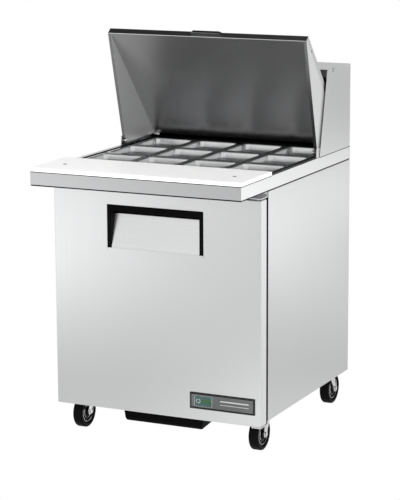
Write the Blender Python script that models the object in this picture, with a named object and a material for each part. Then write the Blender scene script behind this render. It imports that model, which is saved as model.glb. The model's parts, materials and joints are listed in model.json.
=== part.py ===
"""Sandwich prep table: refrigerated cabinet, pan well under a hinged lid, cutting board, casters.

Metres, +Z up. The origin is on the floor, under the middle of the counter's outline.
-Y is the operator's side, where the door opens, and +X is the operator's right.
"""

import math

import bmesh
import bpy
from mathutils import Matrix, Vector

for old in list(bpy.data.objects):
    bpy.data.objects.remove(old, do_unlink=True)

# Driving dimensions
WIDTH = 0.702
DEPTH = 0.867
COUNTER_TOP = 0.8597
FASCIA_HEIGHT = 0.0395
SHEET = 0.0015
GAP = 0.0003
SLIP = 0.0006  # radial room round a pin

HALF_W = WIDTH / 2
HALF_D = DEPTH / 2
INNER_W = HALF_W - SHEET
COUNTER_BOTTOM = COUNTER_TOP - FASCIA_HEIGHT
DECK_UNDER = COUNTER_TOP - SHEET

# Cabinet
BODY_FRONT = -0.2345
BODY_BOTTOM = 0.1057
BODY_TOP = 0.8160
FLOOR_BOTTOM = 0.1270
FLOOR_TOP = 0.1295
BACK_PANEL_FACE = 0.4280
CAVITY_HALF_W = 0.3220
CAVITY_FLOOR = 0.1550
CAVITY_BACK = 0.1960
STEP_Z = 0.6400
WELL_BACK = 0.3795
LINER_TOP = 0.8436
MACHINE_FRONT = 0.2500
MACHINE_TOP = 0.5950

# Pan well
WELL_HALF_W = 0.3330
WELL_FRONT = -0.1950
WELL_REAR = 0.3695
LEDGE_1, LEDGE_2, LEDGE_3 = 0.0052, 0.0124, 0.0150
PAN_COLUMNS = 4
PAN_ROWS = ("front", "middle", "rear")
PAN_W, PAN_L, PAN_DEPTH = 0.1617, 0.1760, 0.1000
PAN_LEDGE_Z = 0.8572

# Cutting board
BOARD_DEPTH = 0.2254
BOARD_THICK = 0.0124
BOARD_HOLE_X, BOARD_HOLE_Y, BOARD_HOLE_R = 0.285, -0.3335, 0.004

# Door
DOOR_FRONT = -0.2900
DOOR_BACK = -0.2478
DOOR_BOTTOM, DOOR_TOP = 0.0984, 0.7960
DOOR_AXIS = Vector((0.335, -0.270, 0.0))
DOOR_PIN_R = 0.004
RECESS_X = (-0.165, 0.161)
RECESS_Z = (0.610, 0.749)
GASKET_HALF_W = 0.338

# Hood and lid, in the Y-Z plane
HOOD_TOP = 1.1302
HOOD_FOOT_Y = 0.1730
HOOD_SHOULDER_Y = 0.2342
HOOD_FASCIA = 0.0236
LID_HALF_W = 0.3450
CHEEK = 0.010
LID_PIVOT = Vector((0.0, 0.1678, 0.8757))
LID_FRONT = Vector((0.0, 0.0700, 1.2356))
LID_RIM = Vector((0.0, 0.1678, 0.8667))
LID_LENGTH = 0.4780
LID_THICK = 0.0220
LID_TILT = math.radians(49.6)
LID_ALONG = Vector((0.0, math.cos(LID_TILT), -math.sin(LID_TILT)))
LID_OUT = Vector((0.0, math.sin(LID_TILT), math.cos(LID_TILT)))
LID_PIN_R = 0.004
LID_HEAD_R = 0.0055
EAR_R = 0.0095

# Casters
WHEEL_R, WHEEL_W, WHEEL_SIDES = 0.051, 0.032, 28
CASTER_X = 0.306
CASTER_Y = (-0.1635, 0.3475)
CASTER_TRAIL = 0.0345
AXLE_R = 0.004
PLATE_HALF = 0.031
BASE_BOTTOM = 0.1220

# Condensing unit
FAN_CENTRE = Vector((0.180, 0.321, 0.270))
FAN_R = 0.090
FAN_BLADES = 5
COMPRESSOR_AT = (-0.130, 0.342)

STEEL = ((0.78, 0.79, 0.80), 0.30, 1.0)
LINER_STEEL = ((0.70, 0.71, 0.72), 0.22, 1.0)
GALVANISED = ((0.60, 0.62, 0.63), 0.45, 1.0)
BLACK_PLASTIC = ((0.02, 0.02, 0.022), 0.45, 0.0)
BLACK_RUBBER = ((0.015, 0.015, 0.015), 0.7, 0.0)
WHITE_POLY = ((0.93, 0.93, 0.92), 0.4, 0.0)
FOAM = ((0.85, 0.78, 0.55), 0.9, 0.0)
COPPER_FIN = ((0.72, 0.72, 0.73), 0.4, 1.0)
PAINTED_BLACK = ((0.03, 0.03, 0.03), 0.4, 0.0)
GREY_WIRE = ((0.75, 0.76, 0.77), 0.35, 0.6)
BADGE_GREY = ((0.35, 0.36, 0.38), 0.4, 0.3)


def material(name, look):
    """A Principled material with one colour, roughness and metallic value."""
    colour, roughness, metallic = look
    made = bpy.data.materials.new(name)
    made.use_nodes = True
    shader = made.node_tree.nodes["Principled BSDF"]
    shader.inputs["Base Color"].default_value = (*colour, 1.0)
    shader.inputs["Roughness"].default_value = roughness
    shader.inputs["Metallic"].default_value = metallic
    made.diffuse_color = (*colour, 1.0)
    return made


def piece(name, points, faces, look, smooth=False):
    """One named object from points and faces, with its faces turned outwards."""
    bm = bmesh.new()
    verts = [bm.verts.new(p) for p in points]
    for face in faces:
        bm.faces.new([verts[i] for i in face])
    bmesh.ops.recalc_face_normals(bm, faces=bm.faces)
    mesh = bpy.data.meshes.new(name)
    bm.to_mesh(mesh)
    bm.free()
    if smooth:
        mesh.shade_smooth()
        mesh.set_sharp_from_angle(angle=math.radians(35))
    mesh.materials.append(material(name, look))
    made = bpy.data.objects.new(name, mesh)
    bpy.context.scene.collection.objects.link(made)
    return made


def cells(name, xs, ys, zs, filled, look):
    """A closed body of the filled cells of a grid, with walls only where a cell meets an empty one."""
    size = (len(xs) - 1, len(ys) - 1, len(zs) - 1)
    full = {
        (i, j, k)
        for i in range(size[0])
        for j in range(size[1])
        for k in range(size[2])
        if filled(i, j, k)
    }
    points, index, faces = [], {}, []

    def corner(i, j, k):
        if (i, j, k) not in index:
            index[i, j, k] = len(points)
            points.append((xs[i], ys[j], zs[k]))
        return index[i, j, k]

    sides = {
        (1, 0, 0): ((1, 0, 0), (1, 1, 0), (1, 1, 1), (1, 0, 1)),
        (-1, 0, 0): ((0, 0, 0), (0, 0, 1), (0, 1, 1), (0, 1, 0)),
        (0, 1, 0): ((0, 1, 0), (0, 1, 1), (1, 1, 1), (1, 1, 0)),
        (0, -1, 0): ((0, 0, 0), (1, 0, 0), (1, 0, 1), (0, 0, 1)),
        (0, 0, 1): ((0, 0, 1), (1, 0, 1), (1, 1, 1), (0, 1, 1)),
        (0, 0, -1): ((0, 0, 0), (0, 1, 0), (1, 1, 0), (1, 0, 0)),
    }
    for i, j, k in sorted(full):
        for (di, dj, dk), corners in sides.items():
            if (i + di, j + dj, k + dk) not in full:
                faces.append([corner(i + a, j + b, k + c) for a, b, c in corners])
    return piece(name, points, faces, look)


def box(name, low, high, look):
    """A plain block between two corners."""
    return cells(name, *zip(low, high), lambda i, j, k: True, look)


def prism(name, outline, low, high, look, axis="X"):
    """An outline drawn across an axis, drawn out along it from low to high."""
    place = {
        "X": lambda a, b, t: (t, a, b),
        "Y": lambda a, b, t: (a, t, b),
        "Z": lambda a, b, t: (a, b, t),
    }[axis]
    n = len(outline)
    points = [place(a, b, low) for a, b in outline] + [place(a, b, high) for a, b in outline]
    faces = [list(range(n)), list(range(n, 2 * n))]
    faces += [[i, (i + 1) % n, n + (i + 1) % n, n + i] for i in range(n)]
    return piece(name, points, faces, look)


def turned(name, profile, centre, axis, look, sides=24, phase=0.0, ring=False):
    """A profile of (radius, distance along the axis) turned round; a ring's profile closes on itself."""
    turn = {"X": Vector((1, 0, 0)), "Y": Vector((0, 1, 0)), "Z": Vector((0, 0, 1))}[axis]
    side_a = Vector((0, 0, 1)) if axis != "Z" else Vector((1, 0, 0))
    side_b = turn.cross(side_a)
    points, rows = [], []
    for radius, along in profile:
        base = Vector(centre) + turn * along
        if radius == 0.0:
            rows.append([len(points)] * sides)
            points.append(base)
            continue
        rows.append([len(points) + i for i in range(sides)])
        for i in range(sides):
            angle = phase + 2 * math.pi * i / sides
            points.append(base + (side_a * math.cos(angle) + side_b * math.sin(angle)) * radius)
    pairs = list(zip(rows, rows[1:]))
    if ring:
        pairs.append((rows[-1], rows[0]))
    faces = []
    for row, other in pairs:
        for i in range(sides):
            j = (i + 1) % sides
            corners = dict.fromkeys((row[i], row[j], other[j], other[i]))
            if len(corners) > 2:
                faces.append(list(corners))
    return piece(name, points, faces, look, smooth=True)


def rod(name, centre, axis, radius, low, high, look=STEEL, sides=12):
    """A plain cylinder."""
    return turned(name, [(0, low), (radius, low), (radius, high), (0, high)], centre, axis, look, sides)


def combine(target, tool, operation):
    """Join a tool to the target or cut it out, and keep the target's result."""
    change = target.modifiers.new(operation, "BOOLEAN")
    change.operation = operation
    change.solver = "EXACT"
    change.object = tool
    bpy.context.view_layer.update()
    result = bpy.data.meshes.new_from_object(target.evaluated_get(bpy.context.evaluated_depsgraph_get()))
    target.modifiers.clear()
    first_look = target.data.materials[0]
    target.data = result
    result.materials.clear()
    result.materials.append(first_look)
    for polygon in result.polygons:
        polygon.material_index = 0
    bpy.data.objects.remove(tool, do_unlink=True)


def cut(target, tool):
    combine(target, tool, "DIFFERENCE")


def join(target, tool):
    combine(target, tool, "UNION")


def pivot(name, at, parent=None):
    """An empty on a joint's axis, which the moving pieces hang from."""
    made = bpy.data.objects.new(name, None)
    made.empty_display_size = 0.03
    bpy.context.scene.collection.objects.link(made)
    made.location = at
    if parent:
        made.parent = parent
        made.location = Vector(at) - parent.matrix_world.translation
    bpy.context.view_layer.update()
    return made


def hang(target, empty):
    """Give a piece its joint's axis as its origin and parent it to the empty there."""
    at = empty.matrix_world.translation.copy()
    target.data.transform(Matrix.Translation(-at))
    target.parent = empty
    target.location = (0, 0, 0)


def ring_level(i, j, nx, ny):
    """How many cells a grid cell lies inside the grid's edge."""
    return min(i, nx - 1 - i, j, ny - 1 - j)


def counter():
    """The worktop's frame: a deck with a turned-down fascia, a cross wall and the pan opening."""
    xs = (-HALF_W, -INNER_W, -WELL_HALF_W, WELL_HALF_W, INNER_W, HALF_W)
    wall = (BODY_FRONT, BODY_FRONT + SHEET)
    ys = (-HALF_D, -HALF_D + SHEET, *wall, WELL_FRONT, WELL_REAR, HALF_D - SHEET, HALF_D)
    zs = (COUNTER_BOTTOM, DECK_UNDER, COUNTER_TOP)

    def filled(i, j, k):
        if k == 1:
            return not (i == 2 and j == 4)
        return i in (0, 4) or j in (0, 2, 6)

    cells("counter_frame", xs, ys, zs, filled, STEEL)
    seal_x, seal_in = INNER_W + 0.0005, 0.330
    cells(
        "counter_seal",
        (-seal_x, -seal_in, seal_in, seal_x),
        (BODY_FRONT + 0.0002, BODY_FRONT + 0.0019, 0.400, HALF_D - 0.003),
        (BODY_TOP + GAP, COUNTER_BOTTOM - GAP),
        lambda i, j, k: ring_level(i, j, 3, 3) == 0,
        BLACK_RUBBER,
    )


def cabinet():
    """The insulated cabinet: skins, floor, foam and the stepped inner liner."""
    for side, name in ((-1, "side_panel_left"), (1, "side_panel_right")):
        x = sorted((side * INNER_W, side * HALF_W))
        box(name, (x[0], BODY_FRONT, BODY_BOTTOM), (x[1], HALF_D, BODY_TOP), STEEL)
    inside = INNER_W - 0.0005
    box("floor_panel", (-inside, -0.2320, FLOOR_BOTTOM), (inside, 0.4260, FLOOR_TOP), GALVANISED)

    foam_outline = [
        (-0.2320, FLOOR_TOP + GAP),
        (MACHINE_FRONT, FLOOR_TOP + GAP),
        (MACHINE_FRONT, MACHINE_TOP),
        (0.4260, MACHINE_TOP),
        (0.4260, BODY_TOP - GAP),
        (-0.2320, BODY_TOP - GAP),
    ]
    liner_out = CAVITY_HALF_W + SHEET
    foam = prism("insulation_foam", foam_outline, -inside, inside, FOAM)
    room = SHEET + GAP
    room_half = liner_out + GAP
    cut(foam, prism("foam_room", cavity_outline(room, -0.30, 0.95), -room_half, room_half, FOAM))

    liner = prism(
        "cabinet_liner", cavity_outline(SHEET, -0.2322, LINER_TOP), -liner_out, liner_out, LINER_STEEL
    )
    room = prism("liner_room", cavity_outline(0.0, -0.30, 0.95), -CAVITY_HALF_W, CAVITY_HALF_W, FOAM)
    cut(liner, room)

    open_low, open_high = CAVITY_FLOOR, 0.785
    cells(
        "door_frame",
        (-inside, -CAVITY_HALF_W, CAVITY_HALF_W, inside),
        (BODY_FRONT, BODY_FRONT + 0.0020),
        (0.1075, open_low, open_high, BODY_TOP - GAP),
        lambda i, j, k: not (i == 1 and k == 1),
        BLACK_PLASTIC,
    )


def cavity_outline(grow, front, top):
    """The stepped inside of the cabinet seen from the side, grown outwards by a wall."""
    return [
        (front, CAVITY_FLOOR - grow),
        (CAVITY_BACK + grow, CAVITY_FLOOR - grow),
        (CAVITY_BACK + grow, STEP_Z - grow),
        (WELL_BACK + grow, STEP_Z - grow),
        (WELL_BACK + grow, top),
        (front, top),
    ]


def back_panel():
    """The rear cover, with rows of vent slots over the machine compartment and the cord's hole."""
    inside = INNER_W - 0.0005
    slots, first, pitch, tall = 8, 0.2300, 0.0360, 0.0120
    zs = [0.1300]
    for n in range(slots):
        zs += [first + n * pitch, first + n * pitch + tall]
    zs.append(BODY_TOP - GAP)
    panel = cells(
        "back_panel",
        (-inside, -0.290, -0.030, 0.030, 0.290, inside),
        (BACK_PANEL_FACE - SHEET, BACK_PANEL_FACE),
        zs,
        lambda i, j, k: not (i in (1, 3) and k % 2 == 1),
        GALVANISED,
    )
    at = (-0.250, 0.0, 0.180)
    cut(panel, rod("gland_hole", at, "Y", 0.0095, 0.40, 0.45))
    back, face = BACK_PANEL_FACE - SHEET - GAP, BACK_PANEL_FACE + GAP
    profile = [
        (0.0045, back - 0.010),
        (0.0085, back - 0.010),
        (0.0085, face),
        (0.0130, face),
        (0.0130, face + 0.0025),
        (0.0090, face + 0.0050),
        (0.0045, face + 0.0050),
    ]
    turned("cord_gland", profile, at, "Y", BLACK_RUBBER, sides=16, ring=True)


def well_and_dividers():
    """The black frame lining the deck's opening in steps, and the bars that part the pans."""
    edge = WELL_HALF_W - GAP
    steps = (0.0, LEDGE_1, LEDGE_2, LEDGE_3)
    front, rear = WELL_FRONT + GAP, WELL_REAR - GAP
    xs = [-edge + s for s in steps] + [edge - s for s in reversed(steps)]
    ys = [front + s for s in steps] + [rear - s for s in reversed(steps)]
    cells(
        "well_frame",
        xs,
        ys,
        (0.8440, 0.8477, PAN_LEDGE_Z, COUNTER_TOP + 0.0015),
        lambda i, j, k: ring_level(i, j, 7, 7) <= 2 - k,
        BLACK_PLASTIC,
    )
    end_x = edge - LEDGE_2 - GAP
    end_y = (front + LEDGE_2 + GAP, rear - LEDGE_2 - GAP)
    half_x, half_y = 0.0050, 0.0080
    xs = [-end_x]
    for n in range(1, PAN_COLUMNS):
        x = -edge + LEDGE_1 + n * pan_pitch_x()
        xs += [x - half_x, x + half_x]
    ys = [end_y[0]]
    for n in range(1, len(PAN_ROWS)):
        y = front + LEDGE_1 + n * pan_pitch_y()
        ys += [y - half_y, y + half_y]
    cells(
        "pan_dividers",
        xs + [end_x],
        ys + [end_y[1]],
        (0.8477 + GAP, PAN_LEDGE_Z),
        lambda i, j, k: i % 2 == 1 or j % 2 == 1,
        STEEL,
    )


def pan_pitch_x():
    return (2 * (WELL_HALF_W - GAP) - 2 * LEDGE_1) / PAN_COLUMNS


def pan_pitch_y():
    return (WELL_REAR - WELL_FRONT - 2 * GAP - 2 * LEDGE_1) / len(PAN_ROWS)


def rounded_rectangle(half_x, half_y, radius, z, steps=3):
    """Points round a rectangle with arcs at its corners."""
    points = []
    for quarter, (sx, sy) in enumerate(((1, 1), (-1, 1), (-1, -1), (1, -1))):
        for n in range(steps + 1):
            angle = math.pi / 2 * (quarter + n / steps)
            x = sx * (half_x - radius) + radius * math.cos(angle)
            y = sy * (half_y - radius) + radius * math.sin(angle)
            points.append((x, y, z))
    return points


def pans():
    """The lift-out pans: drawn tubs with a flat flange, in rows from front to rear."""
    wall, edge_gap = 0.0010, 0.0004
    low, top = PAN_LEDGE_Z + edge_gap, PAN_LEDGE_Z + edge_gap + 0.0014
    body_x, body_y = 0.0710, 0.0775
    foot_x, foot_y = 0.0650, 0.0715
    floor = top - PAN_DEPTH
    loops = [
        rounded_rectangle(foot_x, foot_y, 0.018, floor),
        rounded_rectangle(body_x, body_y, 0.020, low),
        rounded_rectangle(PAN_W / 2, PAN_L / 2, 0.012, low),
        rounded_rectangle(PAN_W / 2, PAN_L / 2, 0.012, top),
        rounded_rectangle(body_x - wall, body_y - wall, 0.019, top),
        rounded_rectangle(foot_x - wall, foot_y - wall, 0.017, floor + wall),
    ]
    n = len(loops[0])
    faces = [list(range(n)), list(range(n * (len(loops) - 1), n * len(loops)))]
    for level in range(len(loops) - 1):
        for i in range(n):
            a, b = level * n + i, level * n + (i + 1) % n
            faces.append([a, b, b + n, a + n])
    points = [p for loop in loops for p in loop]
    x_start = -WELL_HALF_W + GAP + LEDGE_1 + pan_pitch_x() / 2
    y_start = WELL_FRONT + GAP + LEDGE_1 + pan_pitch_y() / 2
    for r, row in enumerate(PAN_ROWS):
        for c in range(PAN_COLUMNS):
            pan = piece(f"pan_{row}_{c + 1}", points, faces, STEEL, smooth=True)
            pan.location = (x_start + c * pan_pitch_x(), y_start + r * pan_pitch_y(), 0.0)


def cutting_board():
    low = COUNTER_TOP + GAP
    rear = -HALF_D + BOARD_DEPTH
    board = box("cutting_board", (-HALF_W, -HALF_D, low), (HALF_W, rear, low + BOARD_THICK), WHITE_POLY)
    for side in (-1, 1):
        at = (side * BOARD_HOLE_X, BOARD_HOLE_Y, 0.0)
        cut(board, rod("board_hole", at, "Z", BOARD_HOLE_R, low - 0.01, low + BOARD_THICK + 0.01))


def door():
    """The hinged door: outer skin, inner panel, gasket, sunk handle and badge."""
    axis = pivot("door_axis", (DOOR_AXIS.x, DOOR_AXIS.y, DOOR_BOTTOM))
    room = 0.0005
    skin = cells(
        "door_skin",
        (-HALF_W, -INNER_W, RECESS_X[0] - room, RECESS_X[1] + room, INNER_W, HALF_W),
        (DOOR_FRONT, DOOR_FRONT + SHEET, DOOR_BACK),
        (
            DOOR_BOTTOM,
            DOOR_BOTTOM + SHEET,
            RECESS_Z[0] - room,
            RECESS_Z[1] + room,
            DOOR_TOP - SHEET,
            DOOR_TOP,
        ),
        lambda i, j, k: not (i == 2 and k == 2) if j == 0 else i in (0, 4) or k in (0, 4),
        STEEL,
    )
    for z in (DOOR_BOTTOM, DOOR_TOP):
        cut(skin, rod("pin_hole", (DOOR_AXIS.x, DOOR_AXIS.y, z), "Z", DOOR_PIN_R + SLIP, -0.01, 0.01))
    inner = INNER_W - 0.0005
    panel = box(
        "door_inner_panel",
        (-inner, DOOR_BACK - 0.0022, DOOR_BOTTOM + SHEET + room),
        (inner, DOOR_BACK, DOOR_TOP - SHEET - room),
        LINER_STEEL,
    )
    gasket_in = GASKET_HALF_W - 0.014
    gasket = cells(
        "door_gasket",
        (-GASKET_HALF_W, -gasket_in, gasket_in, GASKET_HALF_W),
        (DOOR_BACK + GAP, BODY_FRONT - 0.0007),
        (0.1080, 0.1220, 0.7750, 0.7890),
        lambda i, j, k: not (i == 1 and k == 1),
        BLACK_RUBBER,
    )
    cup = door_handle()
    badge = prism(
        "door_badge",
        [(0.114, 0.1345), (0.332, 0.1345), (0.332, 0.1860), (0.114, 0.1860)],
        DOOR_FRONT - GAP - 0.0025,
        DOOR_FRONT - GAP,
        BADGE_GREY,
        axis="Y",
    )
    for target in (skin, panel, gasket, badge, *cup):
        hang(target, axis)


def door_handle():
    """The sunk grip: a black cup with a steel plate that slants in from its foot."""
    depth, rim_top = 0.0310, 0.0200
    cup = box(
        "door_handle_cup",
        (RECESS_X[0], DOOR_FRONT, RECESS_Z[0]),
        (RECESS_X[1], DOOR_FRONT + depth, RECESS_Z[1]),
        BLACK_PLASTIC,
    )
    rim_side = 0.0130
    left, right = RECESS_X[0] + rim_side, RECESS_X[1] - rim_side
    low, high = RECESS_Z[0] + 0.0020, RECESS_Z[1] - rim_top
    floor = DOOR_FRONT + depth - 0.0025
    cut(cup, box("cup_hollow", (left, DOOR_FRONT - 0.01, low), (right, floor, high), STEEL))
    thick, lean, room, reach = 0.0012, 0.0255, 0.0006, 0.1060
    points = []
    for share in (0.0, 1.0):
        z = low + room + share * reach
        for y in (0.0, thick):
            depth_here = DOOR_FRONT + 0.0004 + share * lean + y
            points += [(left + room, depth_here, z), (right - room, depth_here, z)]
    faces = [(0, 1, 5, 4), (2, 3, 7, 6), (0, 1, 3, 2), (4, 5, 7, 6), (0, 2, 6, 4), (1, 3, 7, 5)]
    plate = piece("door_grip_plate", points, faces, STEEL)
    return cup, plate


def door_hinge_brackets():
    """Angle brackets above and below the door, each with a pin that stands in the door."""
    left, right = 0.3180, 0.3490
    y_front, y_back = -0.2850, BODY_FRONT - 0.0010
    upper = prism(
        "upper_hinge_bracket",
        [
            (y_front, 0.7985),
            (y_back, 0.7985),
            (y_back, 0.8155),
            (y_back - 0.003, 0.8155),
            (y_back - 0.003, 0.8015),
            (y_front, 0.8015),
        ],
        left - 0.030,
        right,
        STEEL,
    )
    join(upper, rod("upper_pin", (DOOR_AXIS.x, DOOR_AXIS.y, 0.0), "Z", DOOR_PIN_R, 0.7800, 0.8000))
    lower = prism(
        "lower_hinge_bracket",
        [
            (y_front, 0.0930),
            (-0.2318, 0.0930),
            (-0.2318, 0.1070),
            (BODY_FRONT, 0.1070),
            (BODY_FRONT, 0.0965),
            (y_front, 0.0965),
        ],
        left,
        right,
        STEEL,
    )
    join(lower, rod("lower_pin", (DOOR_AXIS.x, DOOR_AXIS.y, 0.0), "Z", DOOR_PIN_R, 0.0950, 0.1150))


def hood():
    """The fixed hood behind the well: two cheeks and a folded cover, open to the front and below."""
    foot = COUNTER_TOP + GAP
    slope = (HOOD_SHOULDER_Y - HOOD_FOOT_Y) / (HOOD_TOP - COUNTER_TOP)
    outline = [(HOOD_FOOT_Y, foot), (HALF_D, foot), (HALF_D, HOOD_TOP), (HOOD_SHOULDER_Y, HOOD_TOP)]
    for side, name in ((-1, "hood_side_left"), (1, "hood_side_right")):
        x = sorted((side * INNER_W, side * HALF_W))
        prism(name, outline, x[0], x[1], STEEL)
    lip_y = HOOD_SHOULDER_Y - HOOD_FASCIA * slope
    fold = [
        (lip_y, HOOD_TOP - HOOD_FASCIA),
        (HOOD_SHOULDER_Y, HOOD_TOP),
        (HALF_D, HOOD_TOP),
        (HALF_D, foot),
        (HALF_D - SHEET, foot),
        (HALF_D - SHEET, HOOD_TOP - SHEET),
        (HOOD_SHOULDER_Y + SHEET, HOOD_TOP - SHEET),
        (lip_y + SHEET, HOOD_TOP - HOOD_FASCIA),
    ]
    prism("hood_cover", fold, -INNER_W + GAP, INNER_W - GAP, STEEL)


def lid_point(along, out):
    """A point of the lid's section: along its panel from the front edge, and out from the liner."""
    at = LID_FRONT + LID_ALONG * along + LID_OUT * out
    return (at.y, at.z)


def lid_rectangle(along, out):
    return [
        lid_point(along[0], out[0]),
        lid_point(along[1], out[0]),
        lid_point(along[1], out[1]),
        lid_point(along[0], out[1]),
    ]


def lid():
    """The insulated lid: outer skin, liner with side cheeks, lip handle and two pivot pins."""
    axis = pivot("lid_axis", LID_PIVOT)
    plate = 0.0012
    outline = lid_rectangle((0, LID_LENGTH), (plate + GAP, LID_THICK))
    skin = prism("lid_skin", outline, -LID_HALF_W, LID_HALF_W, STEEL)
    hollow = lid_rectangle((SHEET, LID_LENGTH - SHEET), (-0.01, LID_THICK - SHEET))
    cut(skin, prism("lid_hollow", hollow, -LID_HALF_W + SHEET, LID_HALF_W - SHEET, STEEL))
    outline = lid_rectangle((0, LID_LENGTH), (0, plate))
    liner = prism("lid_liner", outline, -LID_HALF_W, LID_HALF_W, LINER_STEEL)
    cheek = [lid_point(0, 0.0006), (LID_RIM.y, LID_RIM.z), lid_point(LID_LENGTH, 0.0006)]
    pins = []
    for side, word in ((-1, "left"), (1, "right")):
        x = sorted((side * (LID_HALF_W - CHEEK), side * LID_HALF_W))
        join(liner, prism("cheek", cheek, x[0], x[1], LINER_STEEL))
        join(liner, rod("ear", (0, LID_PIVOT.y, LID_PIVOT.z), "X", EAR_R, x[0], x[1], sides=20))
        cut(liner, rod("ear_hole", LID_PIVOT, "X", LID_PIN_R + SLIP, x[0] - 0.01, x[1] + 0.01))
        # The head ends outside the pans, so that a pan can be lifted out past it.
        head, shoulder, tip = 0.3278, LID_HALF_W - CHEEK - GAP, 0.3490
        profile = [(0, head), (LID_HEAD_R, head), (LID_HEAD_R, shoulder)]
        profile += [(LID_PIN_R, shoulder), (LID_PIN_R, tip), (0, tip)]
        profile = [(radius, side * along) for radius, along in profile]
        pins.append(turned(f"lid_pin_{word}", profile, LID_PIVOT, "X", STEEL, sides=16))
    grip = [
        lid_point(-GAP, 0.0078),
        lid_point(-GAP, 0.0200),
        lid_point(-0.0070, 0.0200),
        lid_point(-0.0103, 0.0172),
        lid_point(-0.0103, 0.0106),
        lid_point(-0.0070, 0.0078),
    ]
    handle = prism("lid_handle", grip, -0.055, 0.055, STEEL)
    for target in (skin, liner, handle, *pins):
        hang(target, axis)


def lid_brackets():
    """Upright ears on the deck that carry the lid's pins."""
    foot, top = COUNTER_TOP + GAP, 0.8900
    outline = [(0.1545, foot), (0.2065, foot), (0.1850, top), (0.1580, top)]
    for side, word in ((-1, "left"), (1, "right")):
        x = sorted((side * 0.3455, side * 0.3485))
        bracket = prism(f"lid_bracket_{word}", outline, x[0], x[1], STEEL)
        cut(bracket, rod("hole", LID_PIVOT, "X", LID_PIN_R + SLIP, x[0] - 0.01, x[1] + 0.01))


def shelves():
    """Two shelves in the cabinet: a frame with fine wires running from front to back."""
    gaps, wire, bar = 40, 0.0036, 0.0060
    half_w, front, rear, thick = 0.3150, -0.2150, 0.1850, 0.0050
    pitch = 2 * (half_w - bar) / gaps
    xs = [-half_w, -half_w + bar]
    for n in range(1, gaps):
        x = -half_w + bar + n * pitch
        xs += [x - wire / 2, x + wire / 2]
    xs += [half_w - bar, half_w]
    for word, z in (("lower", 0.2900), ("upper", 0.5000)):
        cells(
            f"shelf_{word}",
            xs,
            (front, front + bar, rear - bar, rear),
            (z, z + thick),
            lambda i, j, k: j != 1 or i % 2 == 0,
            GREY_WIRE,
        )


def finned_block(name, low, high, fins, look):
    """A coil drawn as a comb: upright fins on a back plate."""
    width = (high[0] - low[0]) / (2 * fins - 1)
    xs = [low[0] + n * width for n in range(2 * fins)]
    return cells(
        name,
        xs,
        (low[1], high[1] - 0.012, high[1]),
        (low[2], high[2]),
        lambda i, j, k: j == 1 or i % 2 == 0,
        look,
    )


def cooling_system():
    """Condensing unit behind the cabinet, and the evaporator under the rear pans."""
    x, y = COMPRESSOR_AT
    base = FLOOR_TOP + GAP
    shell = [
        (0, base + 0.012),
        (0.066, base + 0.012),
        (0.070, base + 0.022),
        (0.070, base + 0.110),
        (0.058, base + 0.140),
        (0.030, base + 0.154),
        (0, base + 0.157),
    ]
    compressor = turned("compressor", shell, (x, y, 0), "Z", PAINTED_BLACK, sides=24)
    feet_low, feet_high = (x - 0.075, y - 0.060, base), (x + 0.075, y + 0.060, base + 0.014)
    join(compressor, box("feet", feet_low, feet_high, PAINTED_BLACK))
    cx, cz = FAN_CENTRE.x, FAN_CENTRE.z
    half = 0.110
    coil_low, coil_high = (cx - half, 0.256, cz - half), (cx + half, 0.300, cz + half)
    finned_block("condenser_coil", coil_low, coil_high, 9, COPPER_FIN)
    shroud_low, shroud_high = (cx - half, 0.304, cz - half - 0.0280), (cx + half, 0.336, cz + half)
    shroud = box("fan_shroud", shroud_low, shroud_high, GALVANISED)
    cut(shroud, rod("fan_room", (cx, 0, cz), "Y", FAN_R + 0.007, 0.29, 0.35, sides=28))
    bar_low, bar_high = (cx - half, 0.3350, cz - 0.008), (cx + half, 0.3400, cz + 0.008)
    join(shroud, box("motor_bar", bar_low, bar_high, GALVANISED))
    join(shroud, rod("motor", (cx, 0, cz), "Y", 0.030, 0.3380, 0.3850, sides=20))
    axis = pivot("fan_axis", FAN_CENTRE)
    fan = rod("condenser_fan", (cx, 0, cz), "Y", 0.022, 0.3120, 0.3330, BLACK_PLASTIC, sides=20)
    for n in range(FAN_BLADES):
        blade = box("blade", (-0.024, -0.0012, 0.014), (0.024, 0.0012, FAN_R), BLACK_PLASTIC)
        turn = Matrix.Rotation(2 * math.pi * n / FAN_BLADES, 4, "Y")
        turn = turn @ Matrix.Rotation(math.radians(22), 4, "Z")
        blade.data.transform(Matrix.Translation((cx, 0.3225, cz)) @ turn)
        join(fan, blade)
    hang(fan, axis)
    finned_block("evaporator_coil", (-0.260, 0.215, 0.655), (0.260, 0.345, 0.735), 11, COPPER_FIN)


def air_intake():
    """The black scoop under the cabinet's front, with drafted ends."""
    bottom, brow, floor = 0.0520, 0.0975, BASE_BOTTOM - GAP
    front, neck, back = -0.2485, BODY_FRONT + 0.0025, -0.0500
    scoop = prism(
        "air_intake",
        [
            (front, brow),
            (front, bottom + 0.010),
            (front + 0.008, bottom),
            (back, bottom + 0.020),
            (back, floor),
            (neck, floor),
            (neck, brow),
        ],
        -0.140,
        0.140,
        BLACK_PLASTIC,
    )
    for side in (-1, 1):
        foot, head, out = side * 0.130, side * 0.145, side * 0.160
        wedge = [(foot, bottom - 0.01), (out, bottom - 0.01), (out, floor + 0.01), (head, floor + 0.01)]
        cut(scoop, prism("draft", wedge, front - 0.05, back + 0.05, STEEL, axis="Y"))


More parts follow.
